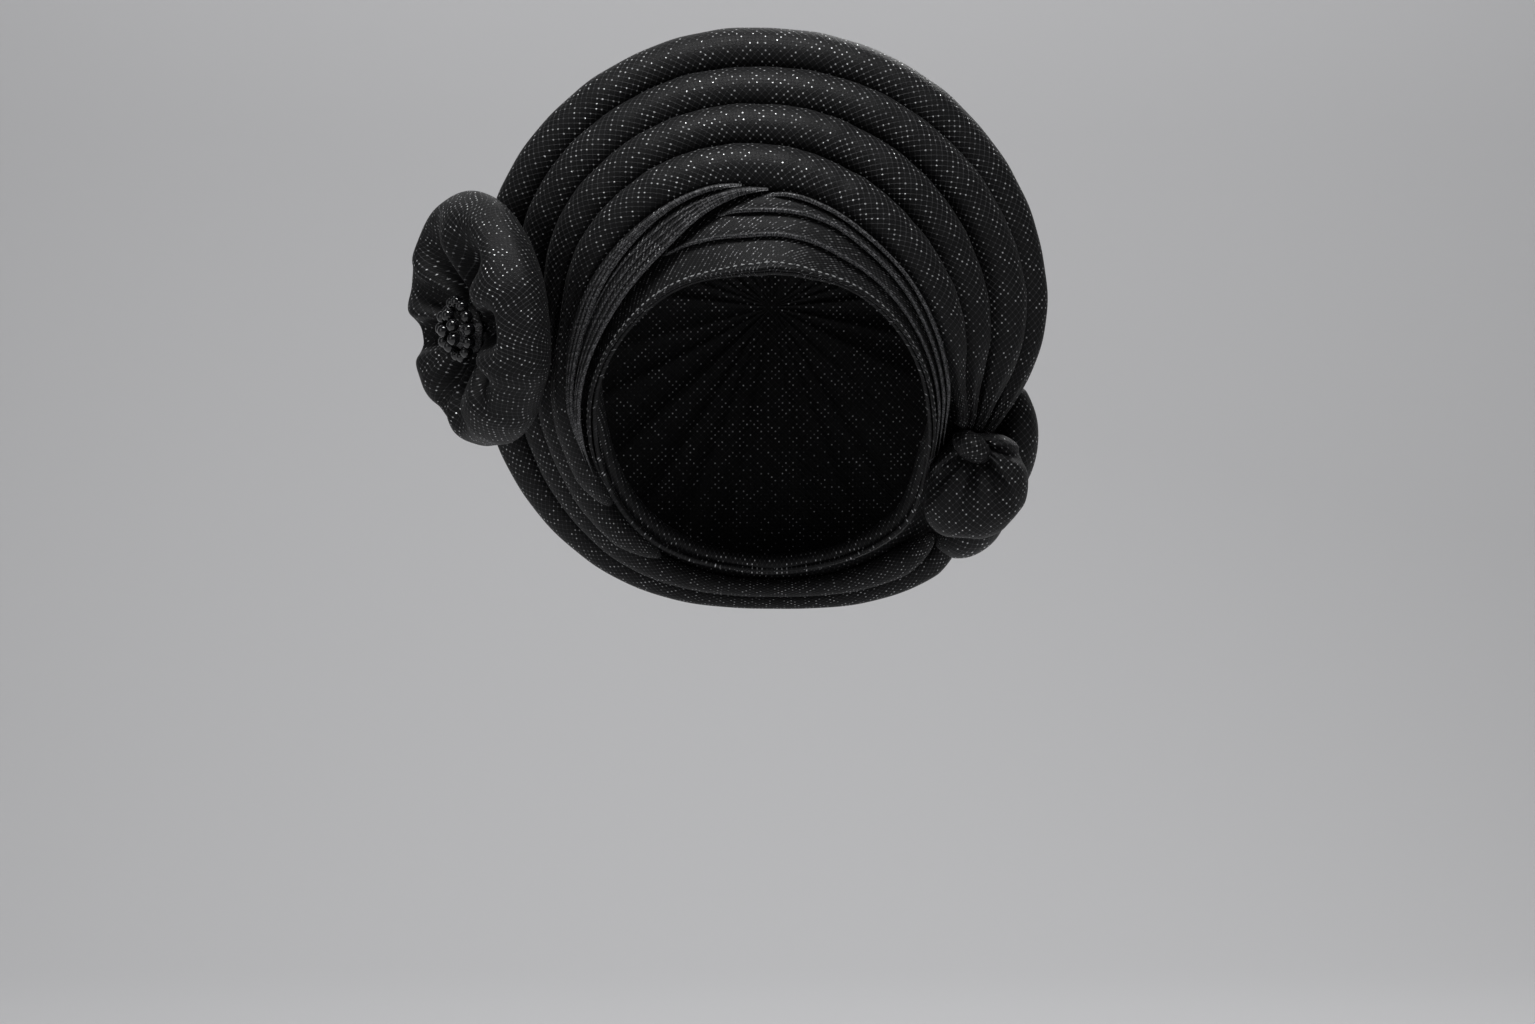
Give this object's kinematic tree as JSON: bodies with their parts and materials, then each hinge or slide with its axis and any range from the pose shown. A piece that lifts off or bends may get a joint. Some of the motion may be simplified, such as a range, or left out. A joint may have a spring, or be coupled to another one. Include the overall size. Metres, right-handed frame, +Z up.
{
  "type": "gele head tie",
  "caption": "Tied gele head tie: padded rolls of black cloth fan over a hollow crown from a side knot to a beaded rosette, with crossed pleats over the brow; worn on the head.",
  "frame": {"origin": "middle of the head opening, where the head tie sits on the head", "axes": "+X to the knot's side (the wearer's left), -Y out through the front opening, +Z up"},
  "size_m": [0.2764, 0.1943, 0.2501],
  "materials": {
    "roll_cloth": "black open-weave cloth with small glints, over wadding",
    "flat_cloth": "black open-weave cloth with small glints, laid flat",
    "bead": "polished black"
  },
  "bodies": {
    "root": {"crown": "roll_cloth", "rim_roll": "roll_cloth", "fan_roll_2": "roll_cloth", "fan_roll_3": "roll_cloth", "fan_roll_4": "roll_cloth", "side_knot": "roll_cloth", "tail_puff": "roll_cloth", "tail_roll_side": "roll_cloth", "tail_roll_low": "roll_cloth", "rosette": "roll_cloth", "brow_band": "flat_cloth", "wrap_pleat_1": "flat_cloth", "wrap_pleat_2": "flat_cloth", "wrap_pleat_3": "flat_cloth", "cross_pleat_1": "flat_cloth", "cross_pleat_2": "flat_cloth", "bead_button": "flat_cloth", "rosette_bead_1": "bead", "rosette_bead_2": "bead", "rosette_bead_3": "bead", "rosette_bead_4": "bead", "rosette_bead_5": "bead", "rosette_bead_6": "bead", "rosette_bead_7": "bead", "rosette_bead_8": "bead", "rosette_bead_9": "bead", "rosette_bead_10": "bead", "rosette_bead_11": "bead", "rosette_bead_12": "bead", "rosette_bead_13": "bead", "rosette_bead_14": "bead", "rosette_bead_15": "bead", "rosette_bead_16": "bead", "rosette_bead_17": "bead", "rosette_bead_18": "bead", "rosette_bead_19": "bead", "rosette_bead_20": "bead", "rosette_bead_21": "bead"}
  },
  "joints": []
}
